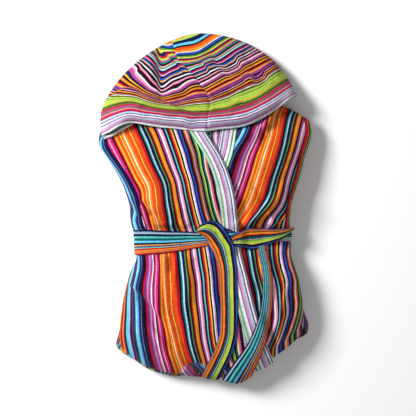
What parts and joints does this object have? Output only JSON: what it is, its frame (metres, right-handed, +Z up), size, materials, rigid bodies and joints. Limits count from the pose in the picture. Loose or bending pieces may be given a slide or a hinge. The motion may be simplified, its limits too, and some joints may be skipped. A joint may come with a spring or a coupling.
{
  "type": "hooded dressing gown",
  "caption": "Hooded terry dressing gown in bright lengthwise stripes, folded into a flat bundle, hood forward, tied with its own belt.",
  "frame": {"origin": "centre of the bounding box at its underside, where the folded gown rests", "axes": "+Z up from the surface, +Y towards the hood, +X to the right of someone looking down on the gown with the hood away from them"},
  "size_m": [0.4664, 0.7769, 0.0941],
  "materials": {
    "terry": "striped looped terry",
    "facing": "wrong side of the striped terry",
    "band": "striped terry, turned and topstitched",
    "belt": "striped terry, doubled and topstitched",
    "layers": "striped terry, folded edges"
  },
  "bodies": {
    "root": {"folded_layers": "layers", "hood_layers": "layers", "front_over": "terry", "front_under": "terry", "band_over": "band", "band_under": "band", "back_neck": "facing", "sleeve_left": "terry", "sleeve_right": "terry", "hood_left": "terry", "hood_right": "terry", "brim_lip": "facing", "belt_left": "belt", "belt_right": "belt", "belt_turn": "belt", "belt_under": "belt", "belt_side_left": "belt", "belt_side_right": "belt", "tail_over": "belt", "tail_under": "belt"}
  },
  "joints": []
}
